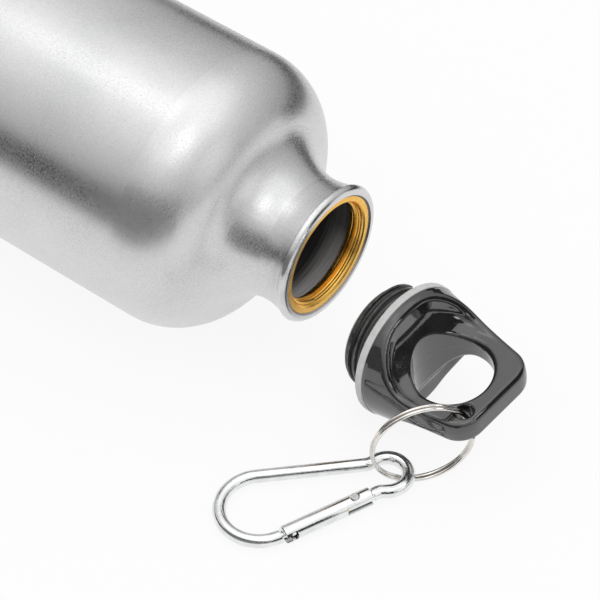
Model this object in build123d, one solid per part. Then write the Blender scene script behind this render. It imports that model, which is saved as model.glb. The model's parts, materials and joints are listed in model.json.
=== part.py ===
"""Aluminium drinking canteen with its loop cap off, a split ring and a snap hook.

The bottle lies on its side. Millimetres. The origin is the middle of the bottle's foot, +X runs along
the bottle to its mouth, +Z is up, and the ground is one body radius below the origin.
"""
import math
import os

from build123d import *

# ---- bottle shell ----
body_radius = 33.0
bottle_length = 178.0            # foot to mouth
wall = 1.1                       # drawn aluminium
foot_corner = 4.0                # corner radius between side wall and foot
foot_width = 3.0                 # flat ring that the bottle stands on
foot_recess = 4.0                # depth of the dome under the bottle
shoulder_length = 26.5           # along the axis, side wall to the narrowest part of the neck
shoulder_round = 17.0            # convex corner of the shoulder
neck_radius = 14.9               # narrowest part of the neck
neck_length = 8.0                # narrowest part to the mouth face
flare_radius = 16.1              # where the neck's flare meets the back of the rolled lip
lip_radius = 16.4
lip_height = 1.8                 # rolled lip, along the axis
lip_round = 1.3                  # its front corner
lip_bevel = 0.45                 # bevel that leads in to the thread insert

# ---- thread ----
thread_pitch = 1.75
thread_crest_width = 0.45        # across its flat, at the crest radius
thread_foot_width = 1.15
thread_sink = 0.15               # how far a thread's foot is let into its wall

# ---- threaded insert in the neck ----
insert_radius = 14.1
insert_length = 3.85
insert_recess = 0.35             # ledge below the mouth face
insert_root_radius = 12.45
insert_crest_radius = 11.9
insert_lead_in = 0.45            # bevel on the inner edge of the ledge
insert_thread_margin = 0.1       # plain wall beyond each end of the thread
insert_thread_turn = 100.0       # where its thread starts, about the neck

# ---- cap: screw plug and seal ----
plug_crest_radius = 12.25
plug_core_radius = 11.6
plug_length = 7.4                # below the seal
plug_wall = 1.6
plug_end_wall = 1.4
plug_end_bevel = 0.6
plug_thread_margin = 0.6         # plain core beyond each end of the thread
plug_thread_turn = -60.0         # where its thread starts, about the cap's axis
seal_radius = 15.8
seal_thickness = 1.8
seal_edge_round = 0.35
seal_play = 0.03                 # between the seal and what it lies on

# ---- cap: body with the finger loop ----
flange_radius = 15.5
flange_rim = 0.8                 # straight part of the flange
finger_hole_radius = 8.75
finger_hole_place = 12.75        # its axis, from the flange face
finger_edge_round = 1.2
loop_end_web = 4.3               # finger hole to the end of the loop
loop_length = finger_hole_place + finger_hole_radius + loop_end_web
loop_end_radius = 11.5           # the body's taper, at the end of the loop
loop_corner = 6.0
loop_half_thickness = 3.0
loop_edge_round = 1.3
dish_start = 2.3                 # flange face to the dish that sinks in each side of the loop
dish_half_width = 13.1
dish_corner = 8.9
dish_flare = 8.0                 # the dish's sides spread outwards by this angle
dish_foot_round = 2.5
scoop_radius = 9.5               # curve of the dish's floor from the flange down to the flat face
scoop_foot = 11.6                # where that curve runs out
ring_hole_radius = 1.85
ring_hole_flare = 0.8            # rounded mouths of the hole
ring_hole_end = 3.8              # its axis, from the end of the loop
ring_hole_place = loop_length - ring_hole_end
ring_hole_side = 6.85            # its axis, from the middle of the loop
spigot_length = 3.0              # boss of the body that the plug is pressed on

# ---- where the cap lies ----
cap_gap = 21.3                   # mouth face to flange face
cap_side = 1.2                   # off the bottle's axis
cap_yaw = -5.9
cap_pitch = 5.0                  # loop end up
cap_roll = 8.5

# ---- split ring ----
ring_wire = 0.86
ring_coil_gap = 0.05
ring_outer_diameter = 22.9
ring_turns = 2

# ---- where the split ring stands ----
ring_yaw = 52.0
ring_slack = 0.26                # the wire's middle line passes this far outside the small hole's axis
ring_steepest = 30.0             # slope from its centre up to the hole; if steeper, it would touch the loop
ring_play = 0.05                 # above the ground

# ---- snap hook: frame ----
# Places along the hook's straight sides are measured from the foot of the eye centre on that side.
hook_wire = 3.0
eye_radius = 4.65                # to the middle of the wire
bow_radius = 8.8                 # to the middle of the wire
hook_reach = 28.4                # eye centre to bow centre
hook_taper = 11.2                # angle between each straight side and the hook's length
pinch_radius = 3.0               # bend where each side runs into the eye
stub_radius = 1.25               # turned down to go inside the gate
stub_start = 5.4
stub_lead = 2.2                  # stub beyond the pin
nose_end = 28.0
peg_radius = 0.75
peg_length = 2.6
peg_head_radius = 1.1
peg_head_length = 0.9

# ---- snap hook: gate ----
gate_radius = 2.0
gate_bore_radius = 1.45
gate_bore_depth = 13.0           # from the hinge end
gate_start = 5.9                 # hinge end
gate_length = 21.2
gate_edge = 0.2
gate_flat = 1.8                  # small flats under the pin's heads, from the gate's axis
pin_radius = 0.6
pin_place = 9.7
pin_head_radius = 0.95
pin_head_height = 0.35
pin_play = 0.05
stub_play = 0.07                 # between the stub and the gate's slots
inner_slot = 0.3                 # slot on the loop's side ends this far beyond the pin
outer_slot = 2.7                 # slot on the far side ends this far beyond the pin
latch_play = 0.2                 # round the peg and its head

# ---- snap hook: spring and plunger in the gate ----
plunger_play = 0.05
plunger_flange = 0.75
plunger_stem_radius = 0.7
plunger_stem_length = 2.5
plunger_travel = 0.5             # more than it moves as the gate opens
spring_wire = 0.3
spring_outer_radius = 1.2
spring_turns = 7

# ---- where the snap hook lies ----
# The far end of the eye, from the ring's centre.
hook_along_ring = -2.78
hook_across_ring = 0.776
hook_yaw = -124.4
hook_play = 0.1                  # between the eye and the ring that it rests on

ground = -body_radius


def polar(centre, radius, angle):
    """Point at a radius and an angle in degrees from a centre, in a flat drawing."""
    turn = math.radians(angle)
    return (centre[0] + radius * math.cos(turn), centre[1] + radius * math.sin(turn))


def arc(centre, radius, start, end):
    """Arc about a centre, angles in degrees."""
    places = [polar(centre, radius, angle) for angle in (start, (start + end) / 2, end)]
    return ThreePointArc(*places)


def face_from(pieces):
    """Flat face bounded by lines and arcs that run on from each other."""
    return make_face(Wire(pieces))


def bottle_shell():
    """One-piece drawn bottle: domed foot, side wall, shoulder, neck and rolled lip."""
    foot_outer = body_radius - foot_corner
    foot_inner = foot_outer - foot_width
    dome_radius = (foot_inner**2 + foot_recess**2) / (2 * foot_recess)
    dome_centre = (foot_recess - dome_radius, 0)
    corner_centre = (foot_corner, foot_outer)

    rise = body_radius - neck_radius
    both_rounds = (rise**2 + shoulder_length**2) / (2 * rise)
    hollow = both_rounds - shoulder_round
    turn = math.degrees(math.asin(shoulder_length / both_rounds))
    waist = bottle_length - neck_length
    shoulder_start = waist - shoulder_length
    shoulder_centre = (shoulder_start, body_radius - shoulder_round)
    hollow_centre = (waist, neck_radius + hollow)

    flare_run = neck_length - lip_height
    flare_rise = flare_radius - neck_radius
    flare_round = (flare_run**2 + flare_rise**2) / (2 * flare_rise)
    flare_turn = math.degrees(math.asin(flare_run / flare_round))
    flare_centre = (waist, neck_radius + flare_round)

    dome_edge = math.degrees(math.asin(foot_inner / dome_radius))
    inner_dome = dome_radius + wall
    inner_dome_edge = math.degrees(math.acos((wall - dome_centre[0]) / inner_dome))
    seat = bottle_length - insert_recess - insert_length

    back_run = lip_height - lip_round
    back_rise = lip_radius - flare_radius
    back_round = (back_run**2 + back_rise**2) / (2 * back_rise)
    back_turn = math.degrees(math.atan2(back_round - back_rise, back_run))
    lip_crown = bottle_length - lip_round
    lip_back_centre = (lip_crown, lip_radius - back_round)
    lip_front_centre = (lip_crown, lip_radius - lip_round)
    lip_front = (bottle_length, lip_radius - lip_round)
    bevel_top = (bottle_length, insert_radius + lip_bevel)
    bevel_foot = (bottle_length - lip_bevel, insert_radius)
    seat_outer = (seat, insert_radius)
    seat_inner = (seat, neck_radius - wall)
    inner_waist = (waist, neck_radius - wall)
    inner_shoulder = (shoulder_start, body_radius - wall)
    inner_corner_end = (foot_corner, body_radius - wall)

    profile = [
        arc(dome_centre, dome_radius, 0, dome_edge),
        Line((0, foot_inner), (0, foot_outer)),
        arc(corner_centre, foot_corner, 180, 90),
        Line((foot_corner, body_radius), (shoulder_start, body_radius)),
        arc(shoulder_centre, shoulder_round, 90, 90 - turn),
        arc(hollow_centre, hollow, 270 - turn, 270),
        arc(flare_centre, flare_round, 270, 270 + flare_turn),
        arc(lip_back_centre, back_round, 180 - back_turn, 90),
        arc(lip_front_centre, lip_round, 90, 0),
        Line(lip_front, bevel_top),
        Line(bevel_top, bevel_foot),
        Line(bevel_foot, seat_outer),
        Line(seat_outer, seat_inner),
        Line(seat_inner, inner_waist),
        arc(hollow_centre, hollow + wall, 270, 270 - turn),
        arc(shoulder_centre, shoulder_round - wall, 90 - turn, 90),
        Line(inner_shoulder, inner_corner_end),
        arc(corner_centre, foot_corner - wall, 90, 180),
        Line((wall, foot_outer), polar(dome_centre, inner_dome, inner_dome_edge)),
        arc(dome_centre, inner_dome, inner_dome_edge, 0),
        Line((foot_recess + wall, 0), (foot_recess, 0)),
    ]
    return revolve(face_from(profile), axis=Axis.X)


def thread_ridge(start, height, turn, foot_radius, crest_radius):
    """Helical ridge about the X axis, from its foot radius to its crest radius, starting at an angle."""
    path = Helix(thread_pitch, height, foot_radius, center=(start, 0, 0), direction=(1, 0, 0))
    origin = path @ 0
    outward = Vector(0, origin.Y, origin.Z).normalized()
    section_plane = Plane(origin=origin, x_dir=outward, z_dir=path % 0)
    reach = crest_radius - foot_radius
    sink = -math.copysign(thread_sink, reach)
    half_foot = thread_foot_width / 2
    half_crest = thread_crest_width / 2
    section = Polyline(
        (sink, -half_foot), (reach, -half_crest), (reach, half_crest), (sink, half_foot),
        close=True,
    )
    return Rot(turn, 0, 0) * sweep(section_plane * make_face(section), path=path, is_frenet=True)


def neck_thread_insert():
    """Threaded ring let into the neck, with a flat ledge at the mouth."""
    inner_end = bottle_length - insert_recess - insert_length
    ledge = bottle_length - insert_recess
    profile = Polyline(
        (inner_end, insert_root_radius), (inner_end, insert_radius), (ledge, insert_radius),
        (ledge, insert_root_radius + insert_lead_in), (ledge - insert_lead_in, insert_root_radius),
        close=True,
    )
    ring = revolve(make_face(profile), axis=Axis.X)
    margin = insert_thread_margin + thread_foot_width / 2
    height = insert_length - 2 * margin - insert_lead_in
    radii = (insert_root_radius, insert_crest_radius)
    return ring + thread_ridge(inner_end + margin, height, insert_thread_turn, *radii)


def cap_location():
    """The cap lies on its seal, its loop end held up by the split ring. Its +X points out of the loop."""
    tilt = math.radians(cap_pitch)
    height = seal_radius * math.cos(tilt) + seal_thickness * math.sin(tilt)
    place = Pos(bottle_length + cap_gap, cap_side, ground + height)
    return place * Rot(0, 0, cap_yaw) * Rot(0, -cap_pitch, 0) * Rot(cap_roll, 0, 0)


def scoop():
    """Full-width block whose underside curves down from the flange to the loop's flat face."""
    far = loop_length + 1
    top = 2 * flange_radius
    near = scoop_foot - scoop_radius
    centre = (scoop_foot, loop_half_thickness + scoop_radius)
    profile = [
        Line((far, loop_half_thickness), (scoop_foot, loop_half_thickness)),
        arc(centre, scoop_radius, 270, 180),
        Line((near, centre[1]), (near, top)),
        Line((near, top), (far, top)),
        Line((far, top), (far, loop_half_thickness)),
    ]
    side_view = Plane(origin=(0, 0, 0), x_dir=(1, 0, 0), z_dir=(0, -1, 0))
    return extrude(side_view * face_from(profile), amount=2 * flange_radius, both=True)


def is_dish_foot(edge):
    """True for an edge where the dish tool's walls meet its underside."""
    box = edge.bounding_box()
    on_top = box.max.Z > 2 * flange_radius - 1
    at_far_end = box.min.X > loop_length
    across = edge.geom_type == GeomType.LINE and box.max.Z - loop_half_thickness < 0.01 and box.size.X < 0.01
    return not (on_top or at_far_end or across)


def dish():
    """Tool that hollows one side of the cap body and leaves a rim round the flange end of the loop."""
    far = loop_length + 1
    corner = (dish_start + dish_corner, dish_corner - dish_half_width)
    side = polar(corner, dish_corner, 270 - dish_flare)
    side_end = (far, side[1] - (far - side[0]) * math.tan(math.radians(dish_flare)))
    plan = [
        Line(side_end, side),
        arc(corner, dish_corner, 270 - dish_flare, 180),
        Line((dish_start, corner[1]), (dish_start, -corner[1])),
        arc(mirrored(corner), dish_corner, 180, 90 + dish_flare),
        Line(mirrored(side), mirrored(side_end)),
        Line(mirrored(side_end), side_end),
    ]
    tool = scoop() & extrude(face_from(plan), amount=2 * flange_radius)
    return fillet(tool.edges().filter_by(is_dish_foot), dish_foot_round)


def is_finger_hole_rim(edge):
    """True for an edge that runs round the wall of the finger hole."""
    if edge.geom_type == GeomType.LINE:
        return False
    points = [edge @ place for place in (0, 0.3, 0.7, 1)]
    return all(abs(math.hypot(p.X - finger_hole_place, p.Y) - finger_hole_radius) < 1e-3 for p in points)


def ring_hole():
    """Tool for the small hole, flared at both faces of the loop."""
    top = 2 * flange_radius
    mouth = ring_hole_radius + ring_hole_flare
    start = loop_half_thickness - ring_hole_flare
    profile = [
        Line((0, 0), (ring_hole_radius, 0)),
        Line((ring_hole_radius, 0), (ring_hole_radius, start)),
        arc((mouth, start), ring_hole_flare, 180, 90),
        Line((mouth, loop_half_thickness), (mouth, top)),
        Line((mouth, top), (0, top)),
        Line((0, top), (0, 0)),
    ]
    half = revolve(Plane.XZ * face_from(profile), axis=Axis.Z)
    return half + mirror(half, about=Plane.XY)


def cap_body():
    """Flange that tapers into a flat finger loop, with a small hole for the split ring."""
    outline = Polyline(
        (0, 0), (0, flange_radius), (flange_rim, flange_radius),
        (loop_length, loop_end_radius), (loop_length, 0),
        close=True,
    )
    half = make_face(outline)
    corner = half.vertices().sort_by(Axis.X)[-2:].sort_by(Axis.Y)[-1:]
    blank = revolve(fillet(corner, loop_corner), axis=Axis.X)
    tool = dish()
    blank = blank - tool - mirror(tool, about=Plane.XY)
    edges = [edge for edge in blank.edges() if edge.bounding_box().min.X > flange_rim + 0.2]
    blank = fillet(edges, loop_edge_round)
    blank = blank - Pos(finger_hole_place, 0, 0) * Cylinder(finger_hole_radius, 4 * flange_radius)
    blank = fillet([edge for edge in blank.edges() if is_finger_hole_rim(edge)], finger_edge_round)
    blank = blank - Pos(ring_hole_place, -ring_hole_side, 0) * ring_hole()
    spigot = Rot(0, 90, 0) * Cylinder(plug_core_radius - plug_wall, spigot_length)
    return blank + Pos(-spigot_length / 2, 0, 0) * spigot


def cap_screw_plug():
    """Hollow threaded plug, closed at its wet end and pressed on the cap body's spigot."""
    end = -seal_thickness - plug_length
    bore = plug_core_radius - plug_wall
    profile = Polyline(
        (0, bore), (0, plug_core_radius), (end + plug_end_bevel, plug_core_radius),
        (end, plug_core_radius - plug_end_bevel), (end, 0),
        (end + plug_end_wall, 0), (end + plug_end_wall, bore),
        close=True,
    )
    cup = revolve(make_face(profile), axis=Axis.X)
    margin = plug_thread_margin + thread_foot_width / 2
    radii = (plug_core_radius, plug_crest_radius)
    return cup + thread_ridge(end + margin, plug_length - 2 * margin, plug_thread_turn, *radii)


def cap_seal():
    """Flat ring under the flange that closes on the mouth."""
    disc = Rot(0, 90, 0) * Cylinder(seal_radius, seal_thickness - seal_play)
    disc = fillet(disc.edges(), seal_edge_round)
    hole = Rot(0, 90, 0) * Cylinder(plug_core_radius + seal_play, 2 * seal_thickness)
    return Pos(-(seal_thickness + seal_play) / 2, 0, 0) * (disc - hole)


def ring_centre_radius():
    """Radius to the middle of the ring's wire."""
    return (ring_outer_diameter - ring_wire) / 2


def ring_centre():
    """The ring passes through the cap's small hole and stands on the ground, or hangs if it is too small."""
    hole = (cap_location() * Pos(ring_hole_place, -ring_hole_side, 0)).position
    radius = ring_centre_radius() - ring_slack
    standing = math.asin((hole.Z - ground - ring_outer_diameter / 2 - ring_play) / radius)
    slope = min(standing, math.radians(ring_steepest))
    reach = radius * math.cos(slope)
    yaw = math.radians(ring_yaw)
    return hole - Vector(reach * math.cos(yaw), reach * math.sin(yaw), radius * math.sin(slope))


def split_ring():
    """Two touching coils of spring wire, standing upright."""
    pitch = ring_wire + ring_coil_gap
    height = ring_turns * pitch
    path = Helix(pitch, height, ring_centre_radius(), center=(0, 0, -height / 2))
    wire = Plane(origin=path @ 0, x_dir=(path @ 0).normalized(), z_dir=path % 0) * Circle(ring_wire / 2)
    coils = sweep(wire, path=path, is_frenet=True)
    return Pos(ring_centre()) * Rot(0, 0, ring_yaw) * Rot(90, 0, 0) * coils


def hook_location():
    """The hook's bow lies on the ground and its eye rests on the ring. Its +X points from eye to bow."""
    seat_radius = ring_centre_radius() - (ring_wire + hook_wire) / 2 - hook_play
    drop = math.sqrt(seat_radius**2 - hook_along_ring**2)
    eye_end = ring_centre() + Vector(hook_along_ring, hook_across_ring, -drop).rotate(Axis.Z, ring_yaw)
    rise = eye_end.Z - ground - hook_wire / 2
    tilt = math.degrees(math.asin(rise / (eye_radius + hook_reach + bow_radius)))
    return Pos(eye_end) * Rot(0, 0, hook_yaw) * Rot(0, tilt, 0) * Pos(eye_radius, 0, 0)


def side_foot():
    """Foot of the eye centre on the gate's side of the hook."""
    return polar((0, 0), bow_radius - hook_reach * math.sin(math.radians(hook_taper)), 90 + hook_taper)


def along_side(distance):
    """Point on the gate's side of the hook."""
    return polar(side_foot(), distance, hook_taper)


def mirrored(point):
    """The same point on the hook's other side."""
    return (point[0], -point[1])


def gate_location():
    """Middle of the gate's pin on the hook, +X along the gate to its nose."""
    place = along_side(pin_place)
    return Pos(place[0], place[1], 0) * Rot(0, 0, hook_taper)


def rod(radius, start, end):
    """Round bar along X."""
    return Pos((start + end) / 2, 0, 0) * Rot(0, 90, 0) * Cylinder(radius, end - start)


def carabiner_frame():
    """Bent wire with a turned-down stub for the gate and a headed peg at its nose."""
    bow = (hook_reach, 0)
    foot = side_foot()
    centre_offset = math.hypot(foot[0], foot[1]) + pinch_radius
    pinch_start = math.sqrt((eye_radius + pinch_radius)**2 - centre_offset**2)
    pinch_centre = polar(along_side(pinch_start), pinch_radius, 90 + hook_taper)
    eye_turn = math.degrees(math.atan2(pinch_centre[1], pinch_centre[0]))
    bend = Wire([
        Line(along_side(stub_start), along_side(pinch_start)),
        arc(pinch_centre, pinch_radius, 270 + hook_taper, 180 + eye_turn),
        arc((0, 0), eye_radius, eye_turn, 360 - eye_turn),
        arc(mirrored(pinch_centre), pinch_radius, 180 - eye_turn, 90 - hook_taper),
        Line(mirrored(along_side(pinch_start)), polar(bow, bow_radius, 270 - hook_taper)),
        arc(bow, bow_radius, -90 - hook_taper, 90 + hook_taper),
        Line(polar(bow, bow_radius, 90 + hook_taper), along_side(nose_end)),
    ])
    wire = sweep(Plane(origin=bend @ 0, z_dir=bend % 0) * Circle(hook_wire / 2), path=bend)
    shoulder = stub_start - pin_place
    nose = nose_end - pin_place
    stub = rod(stub_radius, shoulder - 0.1, stub_lead)
    peg = rod(peg_radius, nose - peg_length, nose + 0.1)
    head = rod(peg_head_radius, nose - peg_length - peg_head_length, nose - peg_length)
    fittings = stub + peg + head - Cylinder(pin_radius, 4 * gate_radius)
    return wire + gate_location() * fittings


def carabiner_gate():
    """Drilled sleeve that swings inwards on the pin, slotted for the stub and for the peg."""
    tail = gate_start - pin_place
    nose = tail + gate_length
    pocket_end = nose_end - pin_place - peg_length + latch_play
    pocket_start = pocket_end - peg_head_length - 2 * latch_play
    sleeve = chamfer(rod(gate_radius, tail, nose).edges().filter_by(GeomType.CIRCLE), gate_edge)
    bore = rod(gate_bore_radius, tail - 1, tail + gate_bore_depth)
    slot_height = 2 * (stub_radius + stub_play)
    corner = (Align.MAX, Align.MAX, Align.CENTER)
    inner = Pos(inner_slot, 0, 0) * Box(gate_length, 2 * gate_radius, slot_height, align=corner)
    corner = (Align.MAX, Align.MIN, Align.CENTER)
    outer = Pos(outer_slot, 0, 0) * Box(gate_length, 2 * gate_radius, slot_height, align=corner)
    head_room = peg_head_radius + latch_play
    neck_room = peg_radius + latch_play
    corner = (Align.MIN, Align.MIN, Align.CENTER)
    pocket = rod(head_room, pocket_start, pocket_end)
    pocket_mouth = Box(pocket_end - pocket_start, 2 * gate_radius, 2 * head_room, align=corner)
    neck = rod(neck_room, pocket_start, nose + 1)
    neck_mouth = Box(nose + 1 - pocket_start, 2 * gate_radius, 2 * neck_room, align=corner)
    pin_hole = Cylinder(pin_radius + pin_play, 4 * gate_radius)
    latch = pocket + neck + Pos(pocket_start, 0, 0) * (pocket_mouth + neck_mouth)
    flat = Pos(0, 0, gate_flat) * Cylinder(
        pin_head_radius + latch_play, gate_radius, align=(Align.CENTER, Align.CENTER, Align.MIN)
    )
    return sleeve - bore - inner - outer - pin_hole - latch - flat - mirror(flat, about=Plane.XY)


def gate_pin():
    """Rivet through the stub that the gate swings on."""
    top = gate_flat + pin_play + pin_head_height
    head = Pos(0, 0, top - pin_head_height) * Cylinder(
        pin_head_radius, pin_head_height, align=(Align.CENTER, Align.CENTER, Align.MIN)
    )
    head = fillet(head.edges().sort_by(Axis.Z)[-1], 0.6 * pin_head_height)
    return Cylinder(pin_radius, 2 * (top - pin_head_height)) + head + mirror(head, about=Plane.XY)


def gate_plunger():
    """Collar that the spring pushes against the stub, with a stem that guides the spring."""
    start = stub_lead + plunger_play
    collar = rod(gate_bore_radius - plunger_play, start, start + plunger_flange)
    return collar + rod(plunger_stem_radius, start, start + plunger_flange + plunger_stem_length)


def gate_spring():
    """Spring in the gate's bore, as short as it is with the gate open."""
    seat = gate_start - pin_place + gate_bore_depth
    start = stub_lead + plunger_play + plunger_flange + plunger_travel + spring_wire / 2
    height = seat - start - spring_wire / 2
    radius = spring_outer_radius - spring_wire / 2
    path = Helix(height / spring_turns, height, radius, center=(start, 0, 0), direction=(1, 0, 0))
    outward = Vector(0, (path @ 0).Y, (path @ 0).Z).normalized()
    wire = Plane(origin=path @ 0, x_dir=outward, z_dir=path % 0) * Circle(spring_wire / 2)
    return sweep(wire, path=path, is_frenet=True)


if __name__ == "__main__":
    os.makedirs("parts", exist_ok=True)
    cap = cap_location()
    hook = hook_location()
    gate = hook * gate_location()
    nodes = {
        "bottle_shell": bottle_shell(),
        "neck_thread_insert": neck_thread_insert(),
        "cap_body": cap * cap_body(),
        "cap_screw_plug": cap * cap_screw_plug(),
        "cap_seal": cap * cap_seal(),
        "split_ring": split_ring(),
        "carabiner_frame": hook * carabiner_frame(),
        "carabiner_gate": gate * carabiner_gate(),
        "gate_pin": gate * gate_pin(),
        "gate_plunger": gate * gate_plunger(),
        "gate_spring": gate * gate_spring(),
    }
    for name, shape in nodes.items():
        export_step(shape, f"parts/{name}.step")
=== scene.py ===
# %% [markdown]
# # An aluminium canteen with its cap off
# A half-litre drinking bottle lies on its side. Its screw cap lies in front of the mouth with
# its finger loop up, a split ring goes through the small hole in the loop, and a snap hook
# hangs on the ring.
#
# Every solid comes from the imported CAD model, so nothing here is moved or reshaped. What this
# file adds is what a CAD file can't hold: satin metal with a grain, worn black plastic, soft
# light and a white floor.

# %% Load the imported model
import json
import math

import bpy
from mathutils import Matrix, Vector


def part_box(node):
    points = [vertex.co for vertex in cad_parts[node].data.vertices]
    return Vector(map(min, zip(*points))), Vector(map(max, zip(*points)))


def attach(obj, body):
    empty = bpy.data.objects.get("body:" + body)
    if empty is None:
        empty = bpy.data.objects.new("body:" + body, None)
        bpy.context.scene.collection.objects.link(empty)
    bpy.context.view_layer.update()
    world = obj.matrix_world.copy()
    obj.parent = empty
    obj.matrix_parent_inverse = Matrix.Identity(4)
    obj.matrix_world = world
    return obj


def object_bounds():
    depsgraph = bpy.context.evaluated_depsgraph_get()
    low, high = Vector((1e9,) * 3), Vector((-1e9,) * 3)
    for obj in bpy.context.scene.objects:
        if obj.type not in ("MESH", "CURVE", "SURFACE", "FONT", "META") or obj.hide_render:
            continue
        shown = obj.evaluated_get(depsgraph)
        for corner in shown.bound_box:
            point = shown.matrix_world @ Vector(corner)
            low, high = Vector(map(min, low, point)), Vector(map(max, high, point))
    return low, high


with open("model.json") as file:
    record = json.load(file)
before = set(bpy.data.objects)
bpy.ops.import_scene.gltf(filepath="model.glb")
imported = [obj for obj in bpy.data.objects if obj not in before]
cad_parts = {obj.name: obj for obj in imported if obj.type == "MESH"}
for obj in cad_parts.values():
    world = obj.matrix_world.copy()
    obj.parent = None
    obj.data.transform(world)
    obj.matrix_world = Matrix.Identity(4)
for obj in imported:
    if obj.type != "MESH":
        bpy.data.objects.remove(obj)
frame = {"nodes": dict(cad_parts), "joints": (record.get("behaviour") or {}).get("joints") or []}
CAD_BOX = [list(corner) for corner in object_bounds()]
MM = 0.001


def extent_mm(box):
    return [round((high - low) / MM, 1) for low, high in zip(*box)]


print("pieces:", ", ".join(sorted(frame["nodes"])))
print("whole object in mm:", extent_mm(CAD_BOX))

# %% [markdown]
# ## Small tools for finishes
# A finish in Blender is a graph of nodes that ends in one Principled shader. Written out in
# full, a graph takes many lines and hides the idea behind it. So the next cell has one function
# that makes any node, and the cells after it have a few short ones with plain names for the
# steps that every finish needs. Values that are the same all over a surface are set on the
# shader itself; only what varies comes in through nodes.

# %% One function that makes any node
def node(tree, kind, inputs=None, **settings):
    """Makes a shader node. Each input is a plain value or the output of another node."""
    made = tree.nodes.new("ShaderNode" + kind)
    for name, value in settings.items():
        setattr(made, name, value)
    for name, value in (inputs or {}).items():
        if isinstance(value, bpy.types.NodeSocket):
            tree.links.new(value, made.inputs[name])
        else:
            made.inputs[name].default_value = value
    return made


def new_finish(name, **constants):
    """Starts a material. Returns it with its node tree and its Principled shader."""
    material = bpy.data.materials.new(name)
    material.use_nodes = True
    shader = material.node_tree.nodes["Principled BSDF"]
    for socket, value in constants.items():
        shader.inputs[socket.replace("_", " ")].default_value = value
    return material, material.node_tree, shader


def feed(tree, shader, **sources):
    """Links varying values into the shader's sockets."""
    for socket, source in sources.items():
        tree.links.new(source, shader.inputs[socket.replace("_", " ")])


# %% [markdown]
# ## Where a point of the surface is
# Noise and lines need a coordinate to follow. Object coordinates stay with the piece when it
# moves, so the pattern never slides over the metal. They come in metres; times a thousand they
# are millimetres, and a noise of scale 2 then has lumps of half a millimetre, which is easy to
# picture.
#
# Most of these pieces are round. For them the useful coordinates are the distance from their
# axis and the place along it. The distance comes from a cross product: the length of
# (point - centre) x axis.

# %% Coordinates
def joint_called(name):
    return next(joint for joint in frame["joints"] if joint["name"] == name)


def joint_line(name):
    """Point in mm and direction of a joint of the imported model."""
    joint = joint_called(name)
    return Vector(joint["pos_m"]) / MM, Vector(joint["axis"])


def place_in_mm(tree):
    metres = node(tree, "TexCoord").outputs["Object"]
    scaling = {0: metres, 1: (1 / MM,) * 3}
    return node(tree, "VectorMath", scaling, operation="MULTIPLY").outputs[0]


def facing(tree):
    """Which way the surface faces, in the object's own directions."""
    return node(tree, "TexCoord").outputs["Normal"]


def component(tree, vector, letter):
    return node(tree, "SeparateXYZ", {0: vector}).outputs[letter]


def along(tree, place, centre, axis):
    """Distance from a centre, measured along an axis."""
    offset = node(tree, "VectorMath", {0: place, 1: centre}, operation="SUBTRACT").outputs[0]
    pair = {0: offset, 1: axis}
    return node(tree, "VectorMath", pair, operation="DOT_PRODUCT").outputs["Value"]


def off_axis(tree, place, centre, axis):
    """Distance from an axis."""
    offset = node(tree, "VectorMath", {0: place, 1: centre}, operation="SUBTRACT").outputs[0]
    across = node(tree, "VectorMath", {0: offset, 1: axis}, operation="CROSS_PRODUCT").outputs[0]
    return node(tree, "VectorMath", {0: across}, operation="LENGTH").outputs["Value"]


BOTTLE_AXIS = ((0, 0, 0), (1, 0, 0))
CAP_AXIS = joint_line("cap_turn")
LOOP_NORMAL = joint_line("ring_swing")[1]
print("cap axis starts in mm at:", [round(value, 1) for value in CAP_AXIS[0]])
print("cap axis runs towards:", [round(value, 3) for value in CAP_AXIS[1]])

# %% [markdown]
# ## Steps that every finish uses
# `between` squeezes a value into a new range, and also makes masks: outside the range it stays
# at the end values. `noise` is the cloud-like pattern that breaks up every real surface.
# `mixed` blends two colours. `relief` turns a height into bumps, where the depth is a real one
# in millimetres.
#
# Most values of a noise lie near its middle, between about 0.3 and 0.7. So `varied` and
# `two_tone` read only that middle: the whole range of roughness or colour is then really used.

# %% Ranges, noise, colours and relief
def maths(tree, operation, first, second=0.0):
    return node(tree, "Math", {0: first, 1: second}, operation=operation).outputs[0]


def between(tree, value, low, high, bottom=0.0, top=1.0):
    """Maps low..high to bottom..top and stays there beyond them."""
    inputs = {"Value": value, "From Min": low, "From Max": high, "To Min": bottom, "To Max": top}
    return node(tree, "MapRange", inputs).outputs["Result"]


def stretched(tree, place, factors):
    return node(tree, "VectorMath", {0: place, 1: factors}, operation="MULTIPLY").outputs[0]


def noise(tree, place, scale, detail=2.0):
    inputs = {"Vector": place, "Scale": scale, "Detail": detail}
    return node(tree, "TexNoise", inputs).outputs["Fac"]


def mixed(tree, mask, first, second):
    """First colour where the mask is 0, second where it is 1."""
    return node(tree, "Mix", {0: mask, 6: first, 7: second}, data_type="RGBA").outputs[2]


def relief(tree, height, depth_mm, below=None):
    """Bumps of a real depth. Another relief can lie below."""
    inputs = {"Height": height, "Strength": 1.0, "Distance": depth_mm * MM}
    if below is not None:
        inputs["Normal"] = below
    return node(tree, "Bump", inputs).outputs["Normal"]


# %% Shares, variation and greys
def share(tree, mask, amount):
    """A mask that reaches only up to an amount."""
    return between(tree, mask, 0, 1, 0.0, amount)


def outside(tree, mask):
    """1 where the mask is 0, and the other way round."""
    return between(tree, mask, 0, 1, 1.0, 0.0)


def varied(tree, pattern, least, most):
    """A value that follows a noise from least to most."""
    return between(tree, pattern, 0.3, 0.7, least, most)


def two_tone(tree, pattern, first, second):
    """Two colours in soft patches that follow a noise."""
    return mixed(tree, between(tree, pattern, 0.35, 0.65), first, second)


def product(tree, first, second):
    return maths(tree, "MULTIPLY", first, second)


def total(tree, first, second):
    return maths(tree, "ADD", first, second)


def grey(level):
    return (level, level, level, 1)


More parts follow.
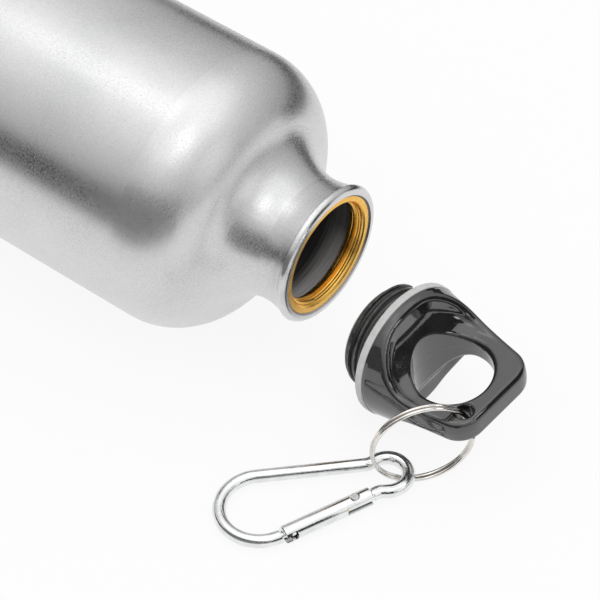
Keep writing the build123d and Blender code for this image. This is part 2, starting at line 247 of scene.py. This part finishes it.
# %% [markdown]
# ## Lathe lines, scratches, worn edges, tarnish and painted shade in gaps
# - **Lathe lines** are rings round the axis. A noise whose vector is (along, radius, 0) has the
#   same value all the way round, so it draws rings on flat faces and on round ones alike. A
#   trace of the real coordinate keeps them from being perfect.
# - **Scratches** are a noise stretched very thin, kept only where it is highest, so they come
#   out as short separate lines.
# - **Worn edges** come from the Bevel node. It gives the direction that the surface would face
#   if its edges were rounded; where that differs from the true direction there is an edge.
# - **Gaps** come from ambient occlusion: a point that sees little open space within a short
#   distance lies in a gap. Where a colour is darkened there, that is painted shade; only the
#   ring's brown trace there is tarnish.

# %% Lathe lines and scratches
DRIFT = 0.01
SCRATCH_EDGE = 0.05


def lathe_lines(tree, place, line, scale):
    """Rings round a centre line, about `scale` of them to a millimetre."""
    position = along(tree, place, *line)
    radius = off_axis(tree, place, *line)
    rings = node(tree, "CombineXYZ", {0: position, 1: radius}).outputs[0]
    drift = stretched(tree, place, (DRIFT,) * 3)
    uneven = node(tree, "VectorMath", {0: rings, 1: drift}, operation="ADD").outputs[0]
    return noise(tree, uneven, scale, 3.0)


def scratches(tree, place, directions, rarity):
    """Thin separate lines. Directions: a scale for each axis, the smallest along the line."""
    lines = noise(tree, stretched(tree, place, directions), 1.0, 4.0)
    return between(tree, lines, rarity, rarity + SCRATCH_EDGE)


# %% Worn edges and gaps
RAYS = 6


def worn_edge(tree, width_mm):
    rounded = node(tree, "Bevel", {"Radius": width_mm * MM}, samples=RAYS).outputs["Normal"]
    true_side = node(tree, "NewGeometry").outputs["Normal"]
    sides = {0: rounded, 1: true_side}
    same = node(tree, "VectorMath", sides, operation="DOT_PRODUCT").outputs["Value"]
    return between(tree, same, 0.99, 0.8)


# A mask of gaps; darkening a colour with it paints shade.
def in_gap(tree, reach_mm):
    reach = {"Distance": reach_mm * MM}
    open_share = node(tree, "AmbientOcclusion", reach, samples=RAYS).outputs["AO"]
    return between(tree, open_share, 0.75, 0.25)


def wear(piece, material):
    """Gives a CAD piece its finish in place of the plain one that it was packed with."""
    for slot in frame["nodes"][piece].material_slots:
        slot.link = "OBJECT"
        slot.material = material
    print(piece, "wears", material.name)


# %% [markdown]
# ## The bottle: satin aluminium outside, dark lining inside
# The real bottle is drawn from one aluminium blank, then etched and lacquered clear. Close up
# that gives a fine sparkling grain, with faint lines left round the neck where it was spun in.
# The lip is rolled and polished by its tool.
#
# Low down near the mouth the lining is painted paler: a painted pool of light where the light
# that comes in through the mouth falls on the lower wall. Why it does isn't known, so its
# colour simply follows the place there, and not the light.
#
# The CAD solid is a hollow shell in one piece, so one material has to serve both sides. A face
# belongs to the inside when it faces the axis. Near the mouth the lining ends under the
# threaded insert, so no visible edge has to be drawn.

# %% Bottle: masks
bottle_aluminium, tree, shader = new_finish("bottle_aluminium", IOR=1.5)
place = place_in_mm(tree)
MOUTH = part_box("bottle_shell")[1].x / MM
LINING_START = (9.0, 9.4)
FLOOR_LIMIT = (20.0, 19.0)
radial = stretched(tree, place, (0, 1, 1))
towards_rim = node(tree, "VectorMath", {0: radial}, operation="NORMALIZE").outputs[0]
sides = {0: facing(tree), 1: towards_rim}
outward = node(tree, "VectorMath", sides, operation="DOT_PRODUCT").outputs["Value"]
position = component(tree, place, "X")
above_foot = between(tree, position, *LINING_START)
inward = product(tree, between(tree, outward, -0.02, -0.08), above_foot)
ahead = component(tree, facing(tree), "X")
near_floor = between(tree, position, *FLOOR_LIMIT)
inner_floor = product(tree, between(tree, ahead, 0.2, 0.3), near_floor)
lining = maths(tree, "MAXIMUM", inward, inner_floor)
neck_zone = between(tree, position, MOUTH - 38, MOUTH - 12)
lip_zone = between(tree, position, MOUTH - 3.0, MOUTH - 2.0)
print("mouth at", round(MOUTH, 1), "mm from the foot")

# %% Bottle: grain, clouds and spinning lines
RING_STRETCH = (3.0, 0.10, 0.10)
grain = noise(tree, place, 2.6, 3.0)
coarse_grain = noise(tree, place, 1.3, 2.0)
clouds = noise(tree, place, 0.045, 3.0)
spun = noise(tree, stretched(tree, place, RING_STRETCH), 1.0, 2.0)
calm_lip = outside(tree, lip_zone)
spun_body = product(tree, spun, calm_lip)
spun_share = product(tree, spun_body, between(tree, neck_zone, 0, 1, 0.4, 1.0))

# %% Bottle: colour outside
DULL_METAL, CLEAR_METAL = (0.60, 0.602, 0.605, 1), (0.74, 0.74, 0.738, 1)
tone = total(tree, product(tree, grain, 0.5), product(tree, clouds, 0.5))
skin = two_tone(tree, tone, DULL_METAL, CLEAR_METAL)

# %% Bottle: colour of the lining
LINING_STRETCH = (1.6, 0.06, 0.06)
lining_lines = noise(tree, stretched(tree, place, LINING_STRETCH), 1.0, 3.0)
dark_lining = two_tone(tree, lining_lines, (0.05, 0.05, 0.052, 1), (0.12, 0.12, 0.125, 1))
# The pale colour is a painted pool of light on the lower wall near the mouth.
painted_light_lining = two_tone(tree, lining_lines, (0.34, 0.345, 0.36, 1), (0.68, 0.685, 0.70, 1))
height = component(tree, place, "Z")
near_mouth = between(tree, position, MOUTH - 10.0, MOUTH - 6.5)
painted_light_place = product(tree, near_mouth, between(tree, height, -5.0, -13.0))
lining_and_painted_light = mixed(tree, painted_light_place, dark_lining, painted_light_lining)

# %% Bottle: roughness
satin = total(tree, varied(tree, grain, 0.235, 0.285), varied(tree, clouds, 0.0, 0.05))
polished = share(tree, lip_zone, 0.05)
etching = between(tree, noise(tree, place, 3.4, 1.0), 0.51, 0.67, 0.0, 0.17)
pits = product(tree, etching, calm_lip)
roughness = total(tree, maths(tree, "SUBTRACT", satin, polished), pits)

# %% Bottle: put together
fine = relief(tree, product(tree, grain, calm_lip), 0.0007)
spinning = relief(tree, spun_share, 0.022, fine)
pitted = relief(tree, product(tree, coarse_grain, calm_lip), 0.0008, spinning)
feed(
    tree, shader,
    Base_Color=mixed(tree, lining, skin, lining_and_painted_light),
    Metallic=outside(tree, lining),
    Roughness=total(tree, roughness, share(tree, lining, 0.1)),
    Normal=pitted,
)
wear("bottle_shell", bottle_aluminium)

# %% [markdown]
# ## The threaded insert: gold-coloured metal
# A ring with a thread is pressed into the neck. Its ledge at the mouth is turned flat, and fine
# lathe lines run round it. Gold looks deep where light bounces twice between the threads, and
# the path tracer does that by itself as long as the base colour is the colour of one bounce. A
# few dark specks, duller patches and brighter worn edges keep it from looking new.

# %% Insert
insert_gold, tree, shader = new_finish("insert_gold", Metallic=1.0)
place = place_in_mm(tree)
turned = lathe_lines(tree, place, BOTTLE_AXIS, 7.0)
cuts = lathe_lines(tree, place, BOTTLE_AXIS, 1.7)
patches = noise(tree, place, 0.5, 3.0)
gold = two_tone(tree, patches, (0.86, 0.48, 0.08, 1), (0.97, 0.58, 0.12, 1))
specks = node(tree, "TexVoronoi", {"Vector": place, "Scale": 0.55}).outputs["Distance"]
spotted = mixed(tree, between(tree, specks, 0.10, 0.06), gold, (0.20, 0.12, 0.05, 1))
dull = varied(tree, patches, 0.22, 0.34)
feed(
    tree, shader,
    Base_Color=mixed(tree, worn_edge(tree, 0.12), spotted, (0.97, 0.74, 0.33, 1)),
    Roughness=total(tree, dull, varied(tree, turned, 0.0, 0.08)),
    Normal=relief(tree, turned, 0.010, relief(tree, cuts, 0.05)),
)
wear("neck_thread_insert", insert_gold)

# %% [markdown]
# ## Tool ridges on both threads
# Between the coarse turns of the CAD thread the metal isn't smooth: the tool that cut it left a
# finer ridge, and it is this ridge that catches the light inside the neck. Bump alone can't do
# that, because a bump has no side that faces out of the mouth. So the ridge is a real one,
# built as a three-sided bar that winds round the axis and tapers off at its ends. The same
# function serves the insert, where the ridge points inwards, and the plug, where it points
# outwards.

# %% A winding ridge
STEPS_PER_TURN = 90
TAPER_SLOPE = 4
SINK = 0.05


def winding_ridge(name, line, start, pitch, turns, foot, crest, width):
    """Three-sided bar wound round a line, in mm. It sinks a little into its wall."""
    centre, axis = Vector(line[0]), Vector(line[1]).normalized()
    side = axis.orthogonal().normalized()
    other = axis.cross(side)
    base = foot + SINK if foot > crest else foot - SINK
    steps = round(turns * STEPS_PER_TURN)
    corners, faces = [], []
    for step in range(steps + 1):
        angle = math.tau * step / STEPS_PER_TURN
        outward = math.cos(angle) * side + math.sin(angle) * other
        middle = centre + axis * (start + pitch * step / STEPS_PER_TURN)
        nearest_end = min(step, steps - step)
        taper = min(1.0, TAPER_SLOPE * nearest_end / STEPS_PER_TURN)
        top = foot + (crest - foot) * taper
        for shift, radius in ((-width / 2, base), (0, top), (width / 2, base)):
            corners.append((middle + axis * shift + outward * radius) * MM)
    for step in range(steps):
        first, after = 3 * step, 3 * step + 3
        for corner in range(3):
            following = (corner + 1) % 3
            faces.append((first + corner, first + following, after + following, after + corner))
    faces += [(2, 1, 0), (3 * steps, 3 * steps + 1, 3 * steps + 2)]
    mesh = bpy.data.meshes.new(name)
    mesh.from_pydata(corners, [], faces)
    ridge = bpy.data.objects.new(name, mesh)
    bpy.context.scene.collection.objects.link(ridge)
    return ridge


# %% Ridge in the insert
insert_ridge = winding_ridge(
    "insert_tool_ridge", BOTTLE_AXIS, start=MOUTH - 3.9,
    pitch=0.62, turns=5.0, foot=12.45, crest=12.31, width=0.62,
)
insert_ridge.data.materials.append(insert_gold)
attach(insert_ridge, "bottle")
print("insert ridge has", len(insert_ridge.data.polygons), "faces")

# %% [markdown]
# ## The cap: glossy black plastic
# The body is one moulding of hard black plastic, handled often. Plastic hardly has a colour of
# its own here: what shows is the reflection, so the finish lives in its gloss. The IOR is set
# higher than the 1.5 or so of real plastic, because the cap's reflections then come out as
# strong as they should look. Clouds of slightly rougher gloss look like the film that fingers
# leave. Edges are a little paler from knocks.
#
# The mould opens in the loop's middle plane, which leaves a hair-thin seam. It is the set of
# points whose distance from that plane is almost zero, and the plane's direction is the same as
# the axis that the split ring swings about.

# %% Cap: seam, scratches and film
cap_black, tree, shader = new_finish("cap_black", IOR=1.95)
place = place_in_mm(tree)
from_seam = maths(tree, "ABSOLUTE", along(tree, place, CAP_AXIS[0], LOOP_NORMAL))
seam = between(tree, from_seam, 0.10, 0.03)
film = noise(tree, place, 0.16, 4.0)
mottle = noise(tree, place, 1.1, 3.0)
fine_scratches = scratches(tree, place, (0.5, 7.0, 2.2), 0.66)
cross_scratches = scratches(tree, place, (6.0, 0.7, 3.0), 0.67)
scratched = maths(tree, "MAXIMUM", fine_scratches, cross_scratches)
knocks = product(tree, worn_edge(tree, 0.25), between(tree, mottle, 0.45, 0.62))

# %% Cap: put together
black = two_tone(tree, film, (0.009, 0.009, 0.0095, 1), (0.018, 0.018, 0.019, 1))
rubbed = mixed(tree, share(tree, scratched, 0.35), black, grey(0.10))
gloss = total(tree, varied(tree, film, 0.04, 0.10), between(tree, mottle, 0.4, 0.7, 0.0, 0.04))
skin_relief = relief(tree, noise(tree, place, 0.35, 2.0), 0.03)
feed(
    tree, shader,
    Base_Color=mixed(tree, share(tree, knocks, 0.5), rubbed, grey(0.12)),
    Roughness=total(tree, gloss, share(tree, scratched, 0.15)),
    Normal=relief(tree, seam, 0.02, relief(tree, scratched, -0.003, skin_relief)),
)
wear("cap_body", cap_black)

# %% [markdown]
# ## The screw plug: worn plastic
# The plug shines less than the cap. Its thread rubs on the metal insert, so the crests are
# scuffed grey while the roots stay black; that grey on the crests is also a painted highlight
# along them. The crests are the points furthest from the cap's axis, so the distance from the
# axis is the mask, broken up with noise so that the scuffing comes and goes.

# %% Plug
plug_black, tree, shader = new_finish("plug_black", IOR=1.5)
CREST = 12.25
place = place_in_mm(tree)
radius = off_axis(tree, place, *CAP_AXIS)
crest = between(tree, radius, CREST - 0.30, CREST - 0.05)
scuffing = noise(tree, place, 0.7, 4.0)
scuffed_and_highlight = product(tree, crest, between(tree, scuffing, 0.40, 0.70, 0.0, 0.6))
dust = between(tree, noise(tree, place, 5.0, 2.0), 0.62, 0.72, 0.0, 0.5)
crest_dust = product(tree, dust, between(tree, crest, 0, 1, 0.2, 1.0))
marks_and_highlight = maths(tree, "MAXIMUM", scuffed_and_highlight, crest_dust)
turned = lathe_lines(tree, place, CAP_AXIS, 2.6)
dark = mixed(tree, between(tree, turned, 0.42, 0.62), grey(0.008), (0.085, 0.086, 0.088, 1))
# Grey on the crests: scuffing, and also a painted highlight along the crests.
feed(
    tree, shader,
    Base_Color=mixed(tree, marks_and_highlight, dark, (0.16, 0.16, 0.155, 1)),
    Roughness=varied(tree, scuffing, 0.12, 0.28),
    Normal=relief(tree, scuffing, 0.03, relief(tree, turned, 0.10)),
)
wear("cap_screw_plug", plug_black)

# %% Ridge on the plug
def place_on_cap_axis(piece):
    """Where the middle of a piece's box lies along the cap's axis, in mm."""
    low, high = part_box(piece)
    return ((low + high) / 2 / MM - CAP_AXIS[0]).dot(CAP_AXIS[1])


seal_place = place_on_cap_axis("cap_seal")
side = 1 if place_on_cap_axis("cap_screw_plug") > seal_place else -1
plug_ridge = winding_ridge(
    "plug_tool_ridge", (CAP_AXIS[0], CAP_AXIS[1] * side), start=seal_place * side + 1.5,
    pitch=0.80, turns=6.2, foot=11.6, crest=11.82, width=0.78,
)
plug_ridge.data.materials.append(plug_black)
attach(plug_ridge, "cap")
print("seal at", round(seal_place, 1), "mm, plug on side", side)

# %% [markdown]
# ## The seal: pale grey rubber
# A flat ring of food-safe rubber lies under the flange. It is plain matt, with painted shade
# in the corner against the plug. The mottling is weak on purpose: rubber looks false when it is
# patterned.

# %% Seal
seal_grey, tree, shader = new_finish("seal_grey", IOR=1.45)
place = place_in_mm(tree)
mottle = noise(tree, place, 0.7, 3.0)
pores = noise(tree, place, 6.0, 2.0)
rubber = two_tone(tree, mottle, (0.57, 0.57, 0.565, 1), (0.64, 0.64, 0.635, 1))
# The gap mask darkens the corner against the plug: painted shade.
feed(
    tree, shader,
    Base_Color=mixed(tree, in_gap(tree, 0.8), rubber, (0.34, 0.34, 0.33, 1)),
    Roughness=varied(tree, mottle, 0.50, 0.66),
    Normal=relief(tree, pores, 0.010, relief(tree, mottle, 0.02)),
)
wear("cap_seal", seal_grey)

# %% [markdown]
# ## The split ring: nickelled spring steel
# The ring is bright, with fine scuffs all over and a brown trace in the gap between its two
# coils, where the nickel is thin. Real wear follows the gap, so the gap mask from ambient
# occlusion puts the brown exactly there.

# %% Ring
ring_steel, tree, shader = new_finish("ring_steel", Metallic=1.0)
place = place_in_mm(tree)
patches = noise(tree, place, 0.6, 3.0)
scuffs = noise(tree, place, 2.5, 4.0)
nickel = two_tone(tree, patches, (0.70, 0.675, 0.64, 1), (0.82, 0.80, 0.77, 1))
feed(
    tree, shader,
    Base_Color=mixed(tree, in_gap(tree, 0.35), nickel, (0.42, 0.29, 0.18, 1)),
    Roughness=varied(tree, scuffs, 0.08, 0.20),
    Normal=relief(tree, scuffs, 0.006),
)
wear("split_ring", ring_steel)

# %% [markdown]
# ## The snap hook: polished aluminium
# The hook is bent from 3 mm wire and its gate is a drilled sleeve of the same metal. Both are
# tumbled bright, so they show sharp dark and light bands, broken by small dents and by
# scratches from keys and zips. The gate was turned from bar, so it gets lines round its own
# axis; that axis is square to the pin and points along the plunger's slide.

# %% Hook: frame
TUMBLED_DARK, TUMBLED_PALE = (0.74, 0.745, 0.75, 1), (0.86, 0.865, 0.87, 1)
hook_aluminium, tree, shader = new_finish("hook_aluminium", Metallic=1.0)
place = place_in_mm(tree)
patches = noise(tree, place, 0.35, 3.0)
dents = noise(tree, place, 0.9, 2.0)
long_nicks = scratches(tree, place, (0.8, 6.0, 5.0), 0.66)
cross_nicks = scratches(tree, place, (6.0, 1.0, 4.0), 0.68)
nicks = maths(tree, "MAXIMUM", long_nicks, cross_nicks)
bright = two_tone(tree, patches, TUMBLED_DARK, TUMBLED_PALE)
feed(
    tree, shader,
    Base_Color=mixed(tree, share(tree, nicks, 0.5), bright, grey(0.50)),
    Roughness=total(tree, varied(tree, patches, 0.08, 0.17), share(tree, nicks, 0.15)),
    Normal=relief(tree, nicks, -0.006, relief(tree, dents, 0.03)),
)
wear("carabiner_frame", hook_aluminium)

# %% Hook: gate
gate_aluminium, tree, shader = new_finish("gate_aluminium", Metallic=1.0)
place = place_in_mm(tree)
GATE_AXIS = (joint_line("gate_open")[0], Vector(joint_called("plunger_slide")["axis"]))
turned = lathe_lines(tree, place, GATE_AXIS, 6.0)
patches = noise(tree, place, 0.4, 3.0)
bright = two_tone(tree, patches, TUMBLED_DARK, TUMBLED_PALE)
# The gap mask darkens the gate in its gaps: painted shade.
feed(
    tree, shader,
    Base_Color=mixed(tree, in_gap(tree, 0.8), bright, grey(0.22)),
    Roughness=varied(tree, turned, 0.10, 0.20),
    Normal=relief(tree, turned, 0.004),
)
wear("carabiner_gate", gate_aluminium)

# %% [markdown]
# ## Pin, spring and plunger
# These three are small, but a rivet that matches its plate looks like a print, so each gets its
# own metal. The pin's heads are hammered steel. The spring is steel wire with a faint heat
# tint, and the plunger that it pushes is turned brass. The last two sit inside the gate and
# show only through its slots.

# %% Pin
pin_steel, tree, shader = new_finish("pin_steel", Metallic=1.0)
place = place_in_mm(tree)
hammered = noise(tree, place, 2.0, 2.0)
steel = two_tone(tree, hammered, (0.46, 0.455, 0.45, 1), (0.64, 0.635, 0.63, 1))
# The gap mask darkens the pin where it meets the hook and the gate: painted shade.
feed(
    tree, shader,
    Base_Color=mixed(tree, in_gap(tree, 0.3), steel, (0.16, 0.15, 0.14, 1)),
    Roughness=varied(tree, hammered, 0.18, 0.34),
    Normal=relief(tree, hammered, 0.02),
)
wear("gate_pin", pin_steel)

# %% Spring
spring_steel, tree, shader = new_finish("spring_steel", Metallic=1.0)
place = place_in_mm(tree)
heat = noise(tree, place, 0.8, 3.0)
feed(
    tree, shader,
    Base_Color=two_tone(tree, heat, (0.42, 0.40, 0.37, 1), (0.56, 0.56, 0.57, 1)),
    Roughness=varied(tree, heat, 0.22, 0.36),
    Normal=relief(tree, noise(tree, place, 6.0), 0.004),
)
wear("gate_spring", spring_steel)

# %% Plunger
plunger_brass, tree, shader = new_finish("plunger_brass", Metallic=1.0)
place = place_in_mm(tree)
turned = lathe_lines(tree, place, GATE_AXIS, 8.0)
tarnish = between(tree, noise(tree, place, 1.2, 3.0), 0.4, 0.7)
feed(
    tree, shader,
    Base_Color=mixed(tree, tarnish, (0.78, 0.58, 0.27, 1), (0.50, 0.36, 0.18, 1)),
    Roughness=varied(tree, turned, 0.18, 0.32),
    Normal=relief(tree, turned, 0.006),
)
wear("gate_plunger", plunger_brass)

# %% [markdown]
# ## The studio
# Metal shows its surroundings, so the room matters more than any lamp. A world that is mid-grey
# at the horizon and bright overhead acts as a light tent: soft from all sides, strongest from
# above. Its level is set so that a level sheet of any colour renders about as the colour that
# was written.

# %% World
room = bpy.data.worlds.new("studio_room")
bpy.context.scene.world = room
room.use_nodes = True
tree = room.node_tree
direction = node(tree, "TexCoord").outputs["Generated"]
tent = node(tree, "ValToRGB", {0: component(tree, direction, "Z")})
LEVELS = ((0.0, 0.42), (0.29, 0.60), (0.62, 0.78), (0.72, 0.95), (0.82, 1.20), (0.92, 1.32))
for rise, level in LEVELS[1:-1]:
    tent.color_ramp.elements.new(rise)
for stop, (rise, level) in zip(tent.color_ramp.elements, LEVELS):
    stop.position = rise
    stop.color = grey(level)
tree.links.new(tent.outputs[0], tree.nodes["Background"].inputs["Color"])
print("sky from", LEVELS[0][1], "at the horizon to", LEVELS[-1][1], "overhead")

# %% [markdown]
# ## Soft boxes
# The tent alone leaves metal and the black cap flat. Three soft boxes give them shape: one
# overhead on the side away from the cap, one overhead in front of the mouth, and one low at the
# side that the loop points to. A lamp's brightness as seen in a reflection is its power divided
# by pi and by its area, so the function takes that brightness and works the power out.

# %% Pointing things at a target
def direction_to(azimuth, elevation):
    """Unit vector towards a lamp or camera. Azimuth 0 is -Y, 90 is +X."""
    turn, tilt = math.radians(azimuth), math.radians(elevation)
    level = math.cos(tilt)
    return Vector((math.sin(turn) * level, -math.cos(turn) * level, math.sin(tilt)))


def stand(name, data, target, direction, distance):
    """Puts a lamp or camera at a distance from its target and points it there."""
    holder = bpy.data.objects.new(name, data)
    bpy.context.scene.collection.objects.link(holder)
    holder.location = target + distance * direction
    holder.rotation_mode = "QUATERNION"
    holder.rotation_quaternion = (-direction).to_track_quat("-Z", "Y")
    return holder


# %% Lamps
LAMP_DISTANCE = 1.5


def soft_box(name, azimuth, elevation, size, brightness):
    """Square lamp that faces the mouth of the bottle."""
    lamp = bpy.data.lights.new(name, "AREA")
    lamp.shape = "SQUARE"
    lamp.size = size
    lamp.energy = brightness * math.pi * size**2
    mouth = Vector((MOUTH * MM, 0, 0))
    stand(name, lamp, mouth, direction_to(azimuth, elevation), LAMP_DISTANCE)
    print(name, "power", round(lamp.energy, 2), "W")


soft_box("overhead_box", azimuth=-88, elevation=64, size=0.46, brightness=0.6)
soft_box("neck_box", azimuth=42, elevation=67, size=0.60, brightness=0.55)
soft_box("side_box", azimuth=90, elevation=24, size=0.80, brightness=0.35)

# %% [markdown]
# ## The floor, the flags and the cards
# The floor is a pale sheet. Seen directly or in a reflection it should be the plain white of a
# studio sweep, so part of what those rays see is an even white; the rest is the real sheet,
# which keeps the object's shadow. Rays that light the object see only the real sheet, so the
# white adds no light.
#
# The long flags and the grey card stand left and right of the bottle. They are an old studio
# trick: polished metal has no shape on white until something dark is reflected along its side.
# They show in reflections only, and cast no shadow.
#
# Three small cards stand close to the cap's end and to the gate: two dark ones, and a white one
# for the bright line on the thread. A real one would also be mirrored in the bottle's neck.
# These only show to reflections that start less than about 77 mm away, so they are something
# that a studio can't have, and a scene can.

# %% Sheets
FLOOR_Z = CAD_BOX[0][2]


def sheet(name, corners, material):
    mesh = bpy.data.meshes.new(name)
    mesh.from_pydata(corners, [], [range(len(corners))])
    mesh.materials.append(material)
    made = bpy.data.objects.new(name, mesh)
    bpy.context.scene.collection.objects.link(made)
    return made


def blended_surface(tree, amount, first, second):
    """The material shows the first shader where the amount is 0, the second where it is 1."""
    both = node(tree, "MixShader", {0: amount, 1: first, 2: second}).outputs[0]
    tree.links.new(both, tree.nodes["Material Output"].inputs["Surface"])


# %% Floor
HALF = 3.0
EVEN_SHARE = 0.88
floor_white, tree, shader = new_finish("floor_white", Base_Color=grey(0.9), Roughness=0.9)
ray = node(tree, "LightPath").outputs
reflected = total(tree, ray["Is Glossy Ray"], ray["Is Transmission Ray"])
seen = total(tree, ray["Is Camera Ray"], reflected)
even_white = node(tree, "Emission", {"Color": grey(1), "Strength": 1.0}).outputs[0]
blended_surface(tree, share(tree, seen, EVEN_SHARE), shader.outputs[0], even_white)
ends = ((-HALF, -HALF), (HALF, -HALF), (HALF, HALF), (-HALF, HALF))
sheet("floor", [(x, y, FLOOR_Z) for x, y in ends], floor_white)

# %% Flags and the grey card beside the bottle
def reflected_only(card):
    card.visible_camera = False
    card.visible_diffuse = False
    card.visible_shadow = False


flag_black = new_finish("flag_black", Base_Color=grey(0.03), Roughness=0.9)[0]
flag_grey = new_finish("flag_grey", Base_Color=grey(0.25), Roughness=0.9)[0]
for name, y, (left, right), (low, high), material in (
    ("near_flag", -0.14, (-0.3, 0.08), (-0.015, 0.045), flag_black),
    ("near_card", -0.14, (0.08, 0.33), (-0.02, 0.080), flag_grey),
    ("far_flag", 0.168, (-0.3, 0.28), (FLOOR_Z, 0.02), flag_black),
):
    corners = [(left, y, low), (right, y, low), (right, y, high), (left, y, high)]
    reflected_only(sheet(name, corners, material))

# %% Small cards by the cap and the gate
CAP_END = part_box("cap_body")[1].x
NEAR, FAR = 0.076, 0.078
CARD_BRIGHTNESS = 3.2
near_rays_only, tree, shader = new_finish("near_rays_only", Base_Color=grey(0.03), Roughness=0.9)
far_ray = between(tree, node(tree, "LightPath").outputs["Ray Length"], NEAR, FAR)
clear = node(tree, "BsdfTransparent").outputs[0]
blended_surface(tree, far_ray, shader.outputs[0], clear)
white_card, tree, shader = new_finish("white_card", Base_Color=grey(0.9), Emission_Color=grey(1))
ray_length = node(tree, "LightPath").outputs["Ray Length"]
glow = between(tree, ray_length, NEAR, FAR, CARD_BRIGHTNESS, 0.0)
feed(tree, shader, Emission_Strength=glow)
for name, x, (left, right), (low, high), material in (
    ("cap_flag", CAP_END + 0.014, (-0.007, 0.045), (-0.009, 0.050), near_rays_only),
    ("crest_card", CAP_END + 0.0135, (-0.007, 0.001), (0.006, 0.018), white_card),
    ("gate_flag", CAP_END + 0.014, (-0.075, -0.040), (-0.025, -0.006), near_rays_only),
):
    corners = [(x, left, low), (x, right, low), (x, right, high), (x, left, high)]
    reflected_only(sheet(name, corners, material))

# %% [markdown]
# ## The camera
# A long lens from well back keeps the ellipses of the mouth and the cap true. The camera looks
# down at the floor point between bottle and cap.

# %% Camera
AIM = Vector((CAD_BOX[0][0] + 0.16187, 0.01004, FLOOR_Z))
VIEW = direction_to(azimuth=38.177, elevation=47.0025)
CAMERA_DISTANCE = 0.66825
camera = stand("camera", bpy.data.cameras.new("camera"), AIM, VIEW, CAMERA_DISTANCE)
camera.data.sensor_width = 36
camera.data.lens = 176.15
camera.data.clip_start = 0.05
bpy.context.scene.camera = camera
bpy.context.scene.view_settings.view_transform = "Standard"
print("camera stands at", [round(value, 3) for value in camera.location], "m")
